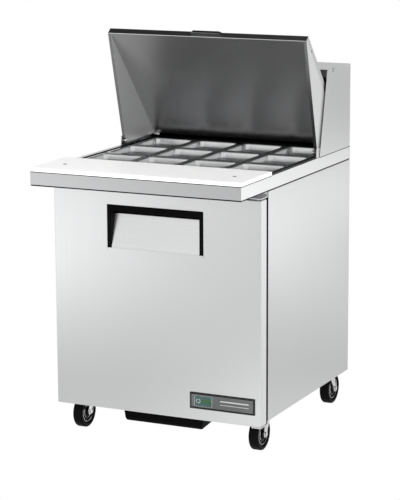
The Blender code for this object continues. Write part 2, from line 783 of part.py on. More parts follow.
def casters():
    """The base frame with its four raceways, and under each a fork with its axle bolt and a wheel."""
    edge = CASTER_X + PLATE_HALF
    ys = [y + end * PLATE_HALF for y in CASTER_Y for end in (-1, 1)]
    base = cells(
        "caster_base_frame",
        (-edge, -edge + 2 * PLATE_HALF, edge - 2 * PLATE_HALF, edge),
        ys,
        (BASE_BOTTOM, FLOOR_BOTTOM - GAP),
        lambda i, j, k: not (i == 1 and j == 1),
        STEEL,
    )
    for y, word, away in ((CASTER_Y[0], "front", -1), (CASTER_Y[1], "rear", 1)):
        for side, hand in ((-1, "left"), (1, "right")):
            x = side * CASTER_X
            name = f"{word}_{hand}"
            join(base, rod("raceway", (x, y, 0), "Z", 0.0220, 0.1150, BASE_BOTTOM + 0.001, sides=20))
            swivel = pivot(f"swivel_{name}", (x, y, 0.1145))
            fork = caster_fork(f"caster_fork_{name}", x, y, away)
            hang(fork, swivel)
            axle = pivot(f"axle_{name}", (x, y + away * CASTER_TRAIL, WHEEL_R), swivel)
            hang(caster_wheel(f"wheel_{name}", x, y + away * CASTER_TRAIL), axle)


def caster_fork(name, x, y, away):
    crown = rod(name, (x, y, 0), "Z", 0.0210, 0.1065, 0.1145, sides=20)
    inner, outer = WHEEL_W / 2 + 0.0020, WHEEL_W / 2 + 0.0045
    axle_y, reach = y + away * CASTER_TRAIL, 0.0110
    leg = [
        (y - away * 0.0150, 0.1085),
        (y + away * 0.0190, 0.1085),
        (axle_y + away * reach, WHEEL_R + 0.004),
        (axle_y + away * reach * 0.7, WHEEL_R - reach * 0.7),
        (axle_y, WHEEL_R - reach),
        (axle_y - away * reach * 0.7, WHEEL_R - reach * 0.7),
        (axle_y - away * reach, WHEEL_R + 0.004),
    ]
    for side in (-1, 1):
        low, high = sorted((side * inner, side * outer))
        join(crown, prism("leg", leg, x + low, x + high, STEEL))
        head_low, head_high = sorted((side * (outer - 0.001), side * (outer + 0.0045)))
        join(crown, rod("bolt_head", (x, axle_y, WHEEL_R), "X", 0.0075, head_low, head_high, sides=6))
    join(crown, rod("axle", (x, axle_y, WHEEL_R), "X", AXLE_R, -outer, outer, sides=12))
    return crown


def caster_wheel(name, x, y):
    half, flat = WHEEL_W / 2, 0.0110
    rim = WHEEL_R / math.cos(math.pi / WHEEL_SIDES)
    profile = [
        (AXLE_R + SLIP, -0.0150),
        (0.0140, -0.0150),
        (0.0160, -0.0110),
        (0.0340, -0.0110),
        (0.0360, -half),
        (rim - 0.0050, -half),
        (rim, -flat),
        (rim, flat),
        (rim - 0.0050, half),
        (0.0360, half),
        (0.0340, 0.0110),
        (0.0160, 0.0110),
        (0.0140, 0.0150),
        (AXLE_R + SLIP, 0.0150),
    ]
    facet = math.pi / WHEEL_SIDES
    return turned(name, profile, (x, y, WHEEL_R), "X", BLACK_RUBBER, WHEEL_SIDES, facet, ring=True)


counter()
cabinet()
back_panel()
well_and_dividers()
pans()
cutting_board()
door()
door_hinge_brackets()
hood()
lid()
lid_brackets()
shelves()
cooling_system()
air_intake()
casters()
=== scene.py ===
"""Looks of the sandwich prep table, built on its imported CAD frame. Metres, +Z up."""

import json
import math

import bmesh
import bpy
from mathutils import Matrix, Vector


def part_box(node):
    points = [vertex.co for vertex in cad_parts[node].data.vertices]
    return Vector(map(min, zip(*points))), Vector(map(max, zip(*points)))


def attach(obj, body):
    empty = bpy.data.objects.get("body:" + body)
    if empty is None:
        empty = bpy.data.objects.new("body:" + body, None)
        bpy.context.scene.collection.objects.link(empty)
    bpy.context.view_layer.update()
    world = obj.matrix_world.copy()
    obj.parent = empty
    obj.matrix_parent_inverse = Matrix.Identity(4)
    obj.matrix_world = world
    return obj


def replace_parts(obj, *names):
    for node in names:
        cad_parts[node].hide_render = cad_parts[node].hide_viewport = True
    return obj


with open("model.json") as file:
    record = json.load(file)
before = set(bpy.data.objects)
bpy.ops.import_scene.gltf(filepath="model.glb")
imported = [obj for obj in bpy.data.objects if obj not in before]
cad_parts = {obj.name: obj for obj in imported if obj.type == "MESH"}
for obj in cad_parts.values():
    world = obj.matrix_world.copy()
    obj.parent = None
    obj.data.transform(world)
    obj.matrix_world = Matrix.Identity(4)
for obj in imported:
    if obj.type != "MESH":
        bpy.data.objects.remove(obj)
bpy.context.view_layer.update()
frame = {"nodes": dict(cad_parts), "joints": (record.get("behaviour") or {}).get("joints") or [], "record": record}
BODY_OF = {n: body for body, nodes in frame["record"]["behaviour"]["bodies"].items() for n in nodes}
SLOT_OF = {s["node"]: s["material_slot"] for s in frame["record"]["subparts"]}
JOINT_AT = {j["child"]: Vector(j.get("pos_m", (0, 0, 0))) for j in frame["joints"]}
WHEELS = ("front_left", "front_right", "rear_left", "rear_right")
SIDES = ((-1, "left"), (1, "right"))
BOARD_HOLE_X, BOARD_HOLE_Y = 0.285, -0.3335
SCREW_RISE = 0.0008


# ---- camera, light and floor


def make_camera():
    """The camera stands to the right of the door and a little above the counter."""
    data = bpy.data.cameras.new("camera")
    data.lens = 146.16
    data.sensor_width = 36.0
    data.clip_end = 60.0
    made = bpy.data.objects.new("camera", data)
    bpy.context.scene.collection.objects.link(made)
    yaw, pitch, roll = (math.radians(a) for a in (25.4064, 11.5876, -0.2842))
    distance = 6.4455
    target = Vector((0.0143, -0.0035, 0.5669))
    back = Vector((math.sin(yaw) * math.cos(pitch), -math.cos(yaw) * math.cos(pitch), math.sin(pitch)))
    right = (-back).cross(Vector((0, 0, 1))).normalized()
    up = right.cross(-back)
    tilt_right = right * math.cos(roll) + up * math.sin(roll)
    tilt_up = up * math.cos(roll) - right * math.sin(roll)
    turn = Matrix((tilt_right, tilt_up, back)).transposed()
    made.matrix_world = Matrix.Translation(target + back * distance) @ turn.to_4x4()
    bpy.context.scene.camera = made


def area_light(name, at, toward, size, watts):
    """A square white lamp that lights the object but doesn't show in its reflections."""
    data = bpy.data.lights.new(name, "AREA")
    data.size = size
    data.energy = watts
    made = bpy.data.objects.new(name, data)
    bpy.context.scene.collection.objects.link(made)
    made.location = at
    made.rotation_mode = "QUATERNION"
    made.rotation_quaternion = (Vector(toward) - Vector(at)).to_track_quat("-Z", "Y")
    made.visible_glossy = False


# Brightness of what the sheets reflect: the sky by height above the horizon, the floor by metres from
# the object's foot, and cards on the floor by centre, radius and gain.
CEILING = ((0.00, 0.96), (0.36, 0.88), (0.62, 0.16), (1.00, 0.04))
FLOOR_RINGS = ((0, 0.85), (1, 0.60), (2, 0.68), (3, 0.70), (4, 0.62), (5, 1.30), (6, 0.40))
FLOOR_CARDS = (
    ((-3.0, -3.6), 1.8, 0.95),
    ((-2.0, -2.4), 1.3, 1.45),
    ((0.6, -1.0), 1.0, 0.60),
    ((2.7, 2.5), 1.7, 1.55),
    ((2.4, 4.0), 1.5, 0.30),
    ((0.9, 3.0), 1.1, -0.30),
    ((-1.0, 0.3), 0.8, -0.50),
)


def grey_ramp(nodes, stops, length=1.0):
    """A colour ramp through (place, grey) stops, with the places divided by a length."""
    ramp = nodes.new("ShaderNodeValToRGB")
    while len(ramp.color_ramp.elements) < len(stops):
        ramp.color_ramp.elements.new(0.5)
    for element, (place, grey) in zip(ramp.color_ramp.elements, stops):
        element.position = place / length
        element.color = (grey, grey, grey, 1)
    return ramp


def smooth_range(nodes, links, source, start, end, low, high):
    """A value that goes smoothly from low to high while the source goes from start to end."""
    made = nodes.new("ShaderNodeMapRange")
    made.interpolation_type = "SMOOTHSTEP"
    for socket, number in (("From Min", start), ("From Max", end), ("To Min", low), ("To Max", high)):
        made.inputs[socket].default_value = number
    links.new(source, made.inputs["Value"])
    return made.outputs["Result"]


def arithmetic(nodes, links, operation, *sources):
    made = nodes.new("ShaderNodeMath")
    made.operation = operation
    for socket, source in zip(made.inputs, sources):
        links.new(source, socket)
    return made.outputs[0]


def make_world():
    """White behind the object; in reflections a bright horizon under a ceiling that is dark on the left."""
    world = bpy.data.worlds.new("studio")
    bpy.context.scene.world = world
    world.use_nodes = True
    nodes, links = world.node_tree.nodes, world.node_tree.links
    nodes.clear()
    out = nodes.new("ShaderNodeOutputWorld")
    split = nodes.new("ShaderNodeSeparateXYZ")
    links.new(nodes.new("ShaderNodeTexCoord").outputs["Generated"], split.inputs[0])
    ramp = grey_ramp(nodes, CEILING)
    links.new(split.outputs["Z"], ramp.inputs["Fac"])
    left_side = smooth_range(nodes, links, split.outputs["X"], -0.1, -0.6, 0.0, 0.94)
    overhead = smooth_range(nodes, links, split.outputs["Z"], 0.15, 0.5, 0.0, 1.0)
    shade = arithmetic(nodes, links, "MULTIPLY", left_side, overhead)
    strength = smooth_range(nodes, links, shade, 0.0, 1.0, 1.0, 0.0)
    surroundings = nodes.new("ShaderNodeBackground")
    links.new(ramp.outputs["Color"], surroundings.inputs["Color"])
    links.new(strength, surroundings.inputs["Strength"])
    seen = nodes.new("ShaderNodeBackground")
    seen.inputs["Color"].default_value = (1, 1, 1, 1)
    mix = nodes.new("ShaderNodeMixShader")
    links.new(nodes.new("ShaderNodeLightPath").outputs["Is Camera Ray"], mix.inputs[0])
    links.new(surroundings.outputs[0], mix.inputs[1])
    links.new(seen.outputs[0], mix.inputs[2])
    links.new(mix.outputs[0], out.inputs["Surface"])


def make_floor():
    """A glowing floor with brighter cards on it, which shows only in reflections."""
    far = 14.0
    mesh = bpy.data.meshes.new("floor")
    mesh.from_pydata([(-far, -far, 0), (far, -far, 0), (far, far, 0), (-far, far, 0)], [], [(0, 1, 2, 3)])
    floor = bpy.data.objects.new("floor", mesh)
    bpy.context.scene.collection.objects.link(floor)
    floor.visible_camera = False
    glow = bpy.data.materials.new("floor_glow")
    glow.use_nodes = True
    nodes, links = glow.node_tree.nodes, glow.node_tree.links
    nodes.clear()
    out = nodes.new("ShaderNodeOutputMaterial")
    place = nodes.new("ShaderNodeTexCoord").outputs["Object"]
    reach = nodes.new("ShaderNodeVectorMath")
    reach.operation = "LENGTH"
    links.new(place, reach.inputs[0])
    longest = FLOOR_RINGS[-1][0]
    share = nodes.new("ShaderNodeMapRange")
    share.inputs["From Max"].default_value = longest
    links.new(reach.outputs["Value"], share.inputs["Value"])
    ramp = grey_ramp(nodes, FLOOR_RINGS, longest)
    links.new(share.outputs["Result"], ramp.inputs["Fac"])
    total = ramp.outputs["Color"]
    for centre, radius, gain in FLOOR_CARDS:
        away = nodes.new("ShaderNodeVectorMath")
        away.operation = "DISTANCE"
        away.inputs[1].default_value = (*centre, 0.0)
        links.new(place, away.inputs[0])
        card = smooth_range(nodes, links, away.outputs["Value"], 0.0, radius, gain, 0.0)
        total = arithmetic(nodes, links, "ADD", total, card)
    light = nodes.new("ShaderNodeEmission")
    light.inputs["Color"].default_value = (1, 1, 1, 1)
    links.new(total, light.inputs["Strength"])
    links.new(light.outputs[0], out.inputs["Surface"])
    mesh.materials.append(glow)


def make_stage():
    bpy.context.scene.view_settings.view_transform = "Standard"
    make_world()
    make_floor()
    area_light("key", (-2.6, -3.4, 3.4), (0.0, -0.2, 0.5), 3.0, 250)
    area_light("fill", (3.6, -2.2, 2.4), (0.2, 0.0, 0.5), 3.0, 190)


# ---- materials


SHEET = (0.80, 0.805, 0.81)


class Finish:
    """A Principled material with helpers that wire noise into its colour, roughness and bump."""

    def __init__(self, name, colour, roughness, metallic=0.0):
        self.material = bpy.data.materials.new(name)
        self.material.use_nodes = True
        self.nodes = self.material.node_tree.nodes
        self.links = self.material.node_tree.links
        self.shader = self.nodes["Principled BSDF"]
        self.colour = (*colour, 1.0)
        self.shader.inputs["Base Color"].default_value = self.colour
        self.shader.inputs["Roughness"].default_value = roughness
        self.shader.inputs["Metallic"].default_value = metallic
        self.coords = self.nodes.new("ShaderNodeTexCoord").outputs["Object"]

    def noise(self, stretch, detail=3.0, rough=0.55):
        place = self.nodes.new("ShaderNodeMapping")
        place.inputs["Scale"].default_value = stretch
        made = self.nodes.new("ShaderNodeTexNoise")
        made.inputs["Scale"].default_value = 1.0
        made.inputs["Detail"].default_value = detail
        made.inputs["Roughness"].default_value = rough
        self.links.new(self.coords, place.inputs["Vector"])
        self.links.new(place.outputs["Vector"], made.inputs["Vector"])
        return made.outputs["Fac"]

    def to_range(self, source, low, high, start=0.3, end=0.7):
        made = self.nodes.new("ShaderNodeMapRange")
        made.inputs["From Min"].default_value = start
        made.inputs["From Max"].default_value = end
        made.inputs["To Min"].default_value = low
        made.inputs["To Max"].default_value = high
        self.links.new(source, made.inputs["Value"])
        return made.outputs["Result"]

    def roughness(self, source, low, high):
        self.links.new(self.to_range(source, low, high), self.shader.inputs["Roughness"])

    def tint(self, source, darker, lighter):
        """Colour that wanders between two shades of the base colour."""
        ramp = self.nodes.new("ShaderNodeValToRGB")
        for element, place, share in zip(ramp.color_ramp.elements, (0.3, 0.7), (darker, lighter)):
            element.position = place
            element.color = (*(min(1.0, c * share) for c in self.colour[:3]), 1)
        self.links.new(source, ramp.inputs["Fac"])
        self.links.new(ramp.outputs["Color"], self.shader.inputs["Base Color"])

    def bump(self, source, strength, distance):
        made = self.nodes.new("ShaderNodeBump")
        made.inputs["Strength"].default_value = strength
        made.inputs["Distance"].default_value = distance
        self.links.new(source, made.inputs["Height"])
        self.links.new(made.outputs["Normal"], self.shader.inputs["Normal"])


def brushed(name, grain, colour=SHEET, rough=(0.29, 0.34), bump=0.02, wander=(0.992, 1.006), metallic=1.0):
    """Stainless sheet: fine parallel scratches along the grain, and a slow change from place to place."""
    made = Finish(name, colour, rough[0], metallic)
    lines = made.noise(grain, 2.0, 0.5)
    made.roughness(lines, *rough)
    made.tint(made.noise((3.1, 3.7, 2.9), 2.0), *wander)
    made.bump(lines, bump, 0.0002)
    return made.material


def moulded(name, colour, rough, grain, bump, wander, shine):
    """Plastic, rubber or paint: a fine pebble in the surface and a slow change of shade."""
    made = Finish(name, colour, rough[0], 0.0)
    made.shader.inputs["Specular IOR Level"].default_value = shine
    pebble = made.noise((grain, grain, grain), 2.0)
    made.roughness(made.noise((14, 17, 13), 3.0), *rough)
    made.tint(made.noise((9, 8, 11), 3.0), *wander)
    made.bump(pebble, bump, 0.0002)
    return made.material


def cutting_board_white():
    """Polyethylene: nearly white, with a matt grain and faint knife marks running across."""
    made = Finish("board_white", (0.93, 0.93, 0.925), 0.42, 0.0)
    cuts = made.noise((14, 900, 14), 4.0, 0.7)
    made.roughness(made.noise((30, 30, 30), 3.0), 0.36, 0.5)
    made.tint(made.noise((5, 7, 5), 3.0), 0.985, 1.01)
    made.bump(cuts, 0.12, 0.0003)
    made.shader.inputs["Subsurface Weight"].default_value = 0.05
    made.shader.inputs["Subsurface Radius"].default_value = (0.004, 0.004, 0.004)
    return made.material


def make_materials():
    """Every look by its name: metals as brushed() takes them, then plastics as moulded() takes them."""
    upright, level, across = (650, 650, 2.0), (2.0, 2.0, 650), (2.0, 650, 650)
    metals = {
        "stainless_upright": (upright,),
        "stainless_level": (level,),
        "stainless_across": (across,),
        "liner_steel": (across, (0.72, 0.73, 0.74), (0.25, 0.29), 0.01),
        # Painted shade: a darker copy of the sheet for the lid liner's panel.
        "painted_shade_liner_steel": (across, (0.60, 0.60, 0.605), (0.30, 0.40)),
        # Painted light: a lighter copy of the sheet for the lid's cheeks.
        "painted_light_cheek_steel": (upright, (0.74, 0.745, 0.75), (0.30, 0.40), 0.02, (0.992, 1.006), 0.7),
        # Near-black steel; on the lip handle it paints the handle's shade.
        "shaded_steel": (across, (0.13, 0.13, 0.135), (0.26, 0.36)),
        # Painted light: a lighter copy of the sheet for the door's grip plate.
        "painted_light_grip_steel": (across, (0.92, 0.925, 0.93), (0.27, 0.36)),
        # Painted shade: a darker copy of the sheet, for the counter's front and the hood cover.
        "painted_shade_steel": (across, (0.62, 0.625, 0.63)),
        # Painted light: a lighter copy of the sheet, for the counter's ends.
        "painted_light_end_steel": (level, (0.92, 0.925, 0.93)),
        # Painted shade: a near-black copy of the sheet for the rims of the lid's cheeks.
        "painted_shade_rim_steel": (upright, (0.22, 0.22, 0.225)),
        # Painted highlight: a brighter copy of the sheet for the door's side edges.
        "painted_highlight_steel": (upright, (0.95, 0.95, 0.955), (0.42, 0.5)),
        "pan_steel": ((14, 14, 14), (0.74, 0.745, 0.75), (0.20, 0.26), 0.004),
        "bright_steel": ((120, 120, 120), (0.86, 0.86, 0.87), (0.12, 0.22), 0.03),
        "galvanised": ((60, 60, 60), (0.62, 0.635, 0.65), (0.38, 0.55), 0.02, (0.85, 1.1)),
        "copper": ((90, 90, 90), (0.72, 0.38, 0.24), (0.25, 0.4)),
        "fins": ((400, 400, 3), (0.74, 0.75, 0.76), (0.35, 0.5)),
    }
    plastics = {
        "black_plastic": ((0.003, 0.003, 0.0032), (0.42, 0.56), 900, 0.12, (0.8, 1.25), 0.03),
        "black_rubber": ((0.004, 0.004, 0.004), (0.55, 0.75), 1400, 0.12, (0.8, 1.25), 0.1),
        "tyre": ((0.003, 0.003, 0.003), (0.42, 0.56), 1100, 0.12, (0.8, 1.25), 0.05),
        "hub_plastic": ((0.003, 0.003, 0.0032), (0.30, 0.42), 700, 0.05, (0.8, 1.25), 0.06),
        "foam": ((0.84, 0.76, 0.52), (0.8, 0.95), 300, 0.4, (0.92, 1.05), 0.5),
        "compressor_black": ((0.018, 0.018, 0.02), (0.25, 0.4), 500, 0.1, (0.8, 1.25), 0.5),
        "shelf_wire": ((0.62, 0.63, 0.64), (0.25, 0.35), 500, 0.05, (0.95, 1.04), 0.5),
        "badge_grey": ((0.085, 0.089, 0.090), (0.3, 0.42), 900, 0.05, (0.8, 1.15), 0.5),
        "badge_glass": ((0.035, 0.075, 0.068), (0.08, 0.14), 200, 0.02, (0.85, 1.2), 0.4),
        "badge_green": ((0.030, 0.085, 0.028), (0.3, 0.4), 200, 0.02, (0.8, 1.2), 0.3),
    }
    made = {name: brushed(name, *choice) for name, choice in metals.items()}
    made.update({name: moulded(name, *choice) for name, choice in plastics.items()})
    made["board_white"] = cutting_board_white()
    return made


SLOT_LOOK = {
    "stainless": "stainless_upright",
    "caster_steel": "bright_steel",
    "coil_fin": "fins",
    "white_board": "board_white",
    "badge": "badge_grey",
}


def look_of_slot(slot):
    """The look for a CAD material slot; most slots and looks have the same name."""
    return SLOT_LOOK.get(slot, slot)


# ---- mesh helpers


PIECES = []


def from_bmesh(name, bm, body, slot, look=None, smooth_angle=35.0):
    """Turn a bmesh into a piece that rides on a body; without a look of its own it takes its slot's."""
    bmesh.ops.recalc_face_normals(bm, faces=bm.faces)
    mesh = bpy.data.meshes.new(name)
    bm.to_mesh(mesh)
    bm.free()
    mesh.shade_smooth()
    mesh.set_sharp_from_angle(angle=math.radians(smooth_angle))
    mesh.materials.append(LOOKS[look or look_of_slot(slot)])
    made = bpy.data.objects.new(name, mesh)
    bpy.context.scene.collection.objects.link(made)
    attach(made, body)
    PIECES.append(made)
    return made


def settle_normals():
    """Keep large flat faces flat beside their rounded edges."""
    for piece in PIECES:
        change = piece.modifiers.new("flat_faces", "WEIGHTED_NORMAL")
        change.keep_sharp = True


def soften(piece, width, segments=3, angle=30.0):
    """Round the sharp edges with a Bevel modifier."""
    change = piece.modifiers.new("soft_edges", "BEVEL")
    change.width = width
    change.segments = segments
    change.limit_method = "ANGLE"
    change.angle_limit = math.radians(angle)
    change.use_clamp_overlap = True
    change.harden_normals = True
    return piece


def copy_of_node(node):
    """A CAD node's mesh with its doubled points merged and its flat triangles joined."""
    bm = bmesh.new()
    bm.from_mesh(frame["nodes"][node].data)
    bmesh.ops.remove_doubles(bm, verts=bm.verts, dist=1e-5)
    bmesh.ops.dissolve_limit(bm, angle_limit=math.radians(0.5), verts=bm.verts, edges=bm.edges)
    return bm


def refine(node, width, segments=2, look=None, smooth_angle=35.0):
    """Stand a piece with rounded edges in a CAD node's place."""
    made = from_bmesh(f"{node}_formed", copy_of_node(node), BODY_OF[node], SLOT_OF[node], look, smooth_angle)
    if width:
        soften(made, width, segments)
    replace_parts(made, node)
    return made


def add_block(bm, low, high):
    """A block between two corners, added to a bmesh."""
    low, high = Vector(low), Vector(high)
    size = high - low
    place = Matrix.Translation((low + high) / 2) @ Matrix.Diagonal((*size, 1.0))
    return bmesh.ops.create_cube(bm, size=1.0, matrix=place)["verts"]


def add_tube(bm, points, radius, sides=8, closed=False):
    """A round tube through points, with caps where it is open."""
    rings = []
    count = len(points)
    side = None
    for i, point in enumerate(points):
        before = points[i - 1] if i or closed else points[i]
        after = points[(i + 1) % count] if i < count - 1 or closed else points[i]
        along = (after - before).normalized()
        if side is None:
            side = along.orthogonal().normalized()
        side = (side - along * side.dot(along)).normalized()
        other = along.cross(side)
        ring = []
        for k in range(sides):
            angle = 2 * math.pi * k / sides
            ring.append(bm.verts.new(point + (side * math.cos(angle) + other * math.sin(angle)) * radius))
        rings.append(ring)
    pairs = list(zip(rings, rings[1:])) + ([(rings[-1], rings[0])] if closed else [])
    for ring, following in pairs:
        for k in range(sides):
            j = (k + 1) % sides
            bm.faces.new((ring[k], ring[j], following[j], following[k]))
    if not closed:
        bm.faces.new(rings[0])
        bm.faces.new(rings[-1])


def add_turned(bm, profile, centre, axis, sides=48, ring=False):
    """A profile of (radius, distance) turned about an axis through centre."""
    axis = Vector(axis)
    side_a = axis.orthogonal().normalized()
    side_b = axis.cross(side_a)
    rows = []
    for radius, along in profile:
        base = Vector(centre) + axis * along
        if radius == 0.0:
            rows.append([bm.verts.new(base)] * sides)
            continue
        rows.append(
            [
                bm.verts.new(base + (side_a * math.cos(a) + side_b * math.sin(a)) * radius)
                for a in (2 * math.pi * i / sides for i in range(sides))
            ]
        )
    pairs = list(zip(rows, rows[1:])) + ([(rows[-1], rows[0])] if ring else [])
    for row, following in pairs:
        for i in range(sides):
            j = (i + 1) % sides
            corners = list(dict.fromkeys((row[i], row[j], following[j], following[i])))
            if len(corners) > 2:
                bm.faces.new(corners)


def add_prism(bm, outline, low, high, place):
    """An outline drawn out from low to high; place(a, b, t) gives the point."""
    first = [bm.verts.new(place(a, b, low)) for a, b in outline]
    last = [bm.verts.new(place(a, b, high)) for a, b in outline]
    bm.faces.new(first)
    bm.faces.new(last)
    for i in range(len(outline)):
        j = (i + 1) % len(outline)
        bm.faces.new((first[i], first[j], last[j], last[i]))


def along_x(a, b, t):
    return Vector((t, a, b))


def along_y(a, b, t):
    return Vector((a, t, b))


def rounded_outline(low, high, radius, steps=5):
    """A rectangle with round corners, as points in its plane."""
    points = []
    corners = ((high[0], high[1], 0), (low[0], high[1], 1), (low[0], low[1], 2), (high[0], low[1], 3))
    for x, y, quarter in corners:
        cx = x - radius if quarter in (0, 3) else x + radius
        cy = y - radius if quarter in (0, 1) else y + radius
        for n in range(steps + 1):
            angle = math.pi / 2 * (quarter + n / steps)
            points.append((cx + radius * math.cos(angle), cy + radius * math.sin(angle)))
    return points


def turned_piece(name, profile, centre, axis, sides, body, slot, look=None, ring=False, smooth_angle=35.0):
    """A piece made of one turned profile."""
    bm = bmesh.new()
    add_turned(bm, profile, centre, axis, sides, ring)
    return from_bmesh(name, bm, body, slot, look, smooth_angle)


def block_piece(name, low, high, body, slot, look=None, width=0.0, segments=2):
    """A piece made of one block, with its edges rounded by a width."""
    bm = bmesh.new()
    add_block(bm, low, high)
    made = from_bmesh(name, bm, body, slot, look)
    if width:
        soften(made, width, segments)
    return made


def screw_head(name, at, outward, radius, body, washer=True):
    """A low round screw head that stands in the sheet, with or without a rubber washer under it."""
    sunk = -0.0003
    height = min(radius * 0.45, SCREW_RISE)
    dome = [(radius * math.cos(a), height * math.sin(a)) for a in (math.pi / 2 * k / 5 for k in range(5))]
    profile = [(0.0, sunk), (radius, sunk)] + dome + [(0.0, height)]
    turned_piece(name, profile, at, outward, 20, body, "bright_steel")
    if washer:
        hole, rim = radius * 0.8, radius * 1.35
        profile = [(hole, -0.0002), (rim, -0.0002), (rim, 0.0002), (hole, 0.0003)]
        turned_piece(f"{name}_washer", profile, at, outward, 24, body, "black_rubber", ring=True)


# ---- pieces of the cabinet


def on_outside(face, low, high):
    """True for a face that lies on the front or on a side of a box."""
    middle = face.calc_center_median()
    near = 1e-4
    front = middle.y < low.y + near and face.normal.y < -0.9
    return front or min(middle.x - low.x, high.x - middle.x) < near


def share_of_node(node, name, body, look, keep, width=0.0009, segments=3):
    """A piece made of those faces of a node for which keep() is true."""
    bm = copy_of_node(node)
    bm.normal_update()
    bmesh.ops.delete(bm, geom=[f for f in bm.faces if not keep(f)], context="FACES")
    made = from_bmesh(name, bm, body, SLOT_OF[node], look)
    soften(made, width, segments)
    return made


def counter():
    """The counter frame in three sheets, the front painted darker as shade and the ends painted lighter as light,
    with black strips that paint the shadow lines on it and below it, and its seal.
    """
    low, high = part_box("counter_frame")
    deck = share_of_node(
        "counter_frame", "counter_deck", "cabinet", "stainless_level", lambda f: not on_outside(f, low, high)
    )
    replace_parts(deck, "counter_frame")

    def in_front(face):
        return on_outside(face, low, high) and face.normal.y < -0.9

    def in_ends(face):
        return on_outside(face, low, high) and abs(face.normal.x) > 0.9

    step_in = 0.0003
    # Painted light and shade: the front sheet takes a darker copy of the steel, the end sheets a lighter one.
    for name, look, side, keep in (
        ("counter_front", "painted_shade_steel", 1, in_front),
        ("counter_ends", "painted_light_end_steel", 0, in_ends),
    ):
        sheet = share_of_node("counter_frame", name, "cabinet", look, keep)
        for vertex in sheet.data.vertices:
            vertex.co[side] -= math.copysign(step_in, vertex.co[side])
    counter_shadow_line(low, high)
    refine("counter_seal", 0.0005)
    rail_shadow_bead(low, high)


def counter_shadow_line(low, high):
    """A black strip that paints the thin shadow line along the counter's top edge, under the board and under the
    hood's sides.
    """
    shadow_low, shadow_high = high.z - 0.0012, high.z + 0.0002
    thick = 0.0008
    board_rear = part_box("cutting_board")[1].y
    hood_low, hood_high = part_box("hood_side_right")
    bm = bmesh.new()
    add_block(bm, (low.x, low.y, shadow_low), (high.x, low.y + thick, shadow_high))
    for x in (low.x, high.x - thick):
        add_block(bm, (x, low.y + thick, shadow_low), (x + thick, board_rear, shadow_high))
        add_block(bm, (x, hood_low.y, shadow_low), (x + thick, hood_high.y - thick, shadow_high))
    from_bmesh("board_shadow_line", bm, "cabinet", "black_rubber")


def rail_shadow_bead(low, high):
    """A black bead that paints the shadow line along the counter's lower edge, on the front and both sides."""
    bead = 0.0022
    z = low.z - bead + 0.0002
    near, far = low.y + bead, high.y - bead
    left, right = low.x + bead, high.x - bead
    route = [Vector(p) for p in ((left, far, z), (left, near, z), (right, near, z), (right, far, z))]
    bm = bmesh.new()
    add_tube(bm, route, bead, 8)
    from_bmesh("counter_shadow_bead", bm, "cabinet", "black_rubber")


def board():
    """The cutting board with eased edges, a black strip under its edges that paints the shadow line there, and a
    black peg and a grommet in each hole that also paint the hole's shade.
    """
    refine("cutting_board", 0.0020, 3)
    low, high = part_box("cutting_board")
    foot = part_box("counter_frame")[1].z + 0.0001
    inset, width, top = 0.0002, 0.0050, low.z + 0.0014
    x_low, x_high, y_low, y_high = low.x + inset, high.x - inset, low.y + inset, high.y - inset
    # Painted shadow: a black strip under the board's edges.
    bm = bmesh.new()
    add_block(bm, (x_low, y_low, foot), (x_high, y_low + width, top))
    add_block(bm, (x_low, y_high - width, foot), (x_high, y_high, top))
    for x in (x_low, x_high - width):
        add_block(bm, (x, y_low + width, foot), (x + width, y_high - width, top))
    from_bmesh("board_shadow_strip", bm, "board", "white_board", "black_rubber")
    peg = [(0.0, 0.0), (0.0040, 0.0), (0.0040, 0.0112), (0.0034, 0.0120), (0.0, 0.0120)]
    grommet = [(0.0042, -0.0040), (0.0062, -0.0040), (0.0062, 0.0002), (0.0056, 0.0005), (0.0042, 0.0003)]
    up = (0, 0, 1)
    # The peg and grommet are black parts whose black also paints the shade inside the hole.
    for side, word in SIDES:
        x, y = side * BOARD_HOLE_X, BOARD_HOLE_Y
        turned_piece(f"board_peg_{word}", peg, (x, y, foot), up, 20, "cabinet", "black_rubber")
        name = f"board_grommet_{word}"
        turned_piece(name, grommet, (x, y, high.z), up, 28, "board", "white_board", "black_rubber", ring=True)


def side_panels():
    """The two side panels, with a folded hem behind the lower front and rear corner of each."""
    for side, word in SIDES:
        node = f"side_panel_{word}"
        refine(node, 0.0006, look="stainless_upright")
        low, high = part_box(node)
        face = high.x if side > 0 else low.x
        x = sorted((face - side * 0.0016, face - side * 0.0126))
        bm = bmesh.new()
        for y in (low.y + 0.0065, high.y - 0.0075):
            add_block(bm, (x[0], y - 0.0060, low.z + 0.0006), (x[1], y + 0.0060, low.z + 0.0018))
        soften(from_bmesh(f"side_hem_{word}", bm, "cabinet", "stainless", "galvanised"), 0.0004, 2)


def louvre_section(skin, z):
    """The (y, z) outline of a louvre's quarter-round hood, on a skin and above a height."""
    reach, tall, thick, proud = 0.0048, 0.0120, 0.0009, 0.0001
    quarter = [math.pi / 2 * k / 6 for k in range(7)]
    arc = [(skin + reach * math.sin(a), z + tall * math.cos(a)) for a in quarter]
    inner = [(y - thick if y > skin + thick else skin, level - thick) for y, level in reversed(arc)]
    return [(max(y, skin + proud), max(level, z)) for y, level in arc + inner[1:]]


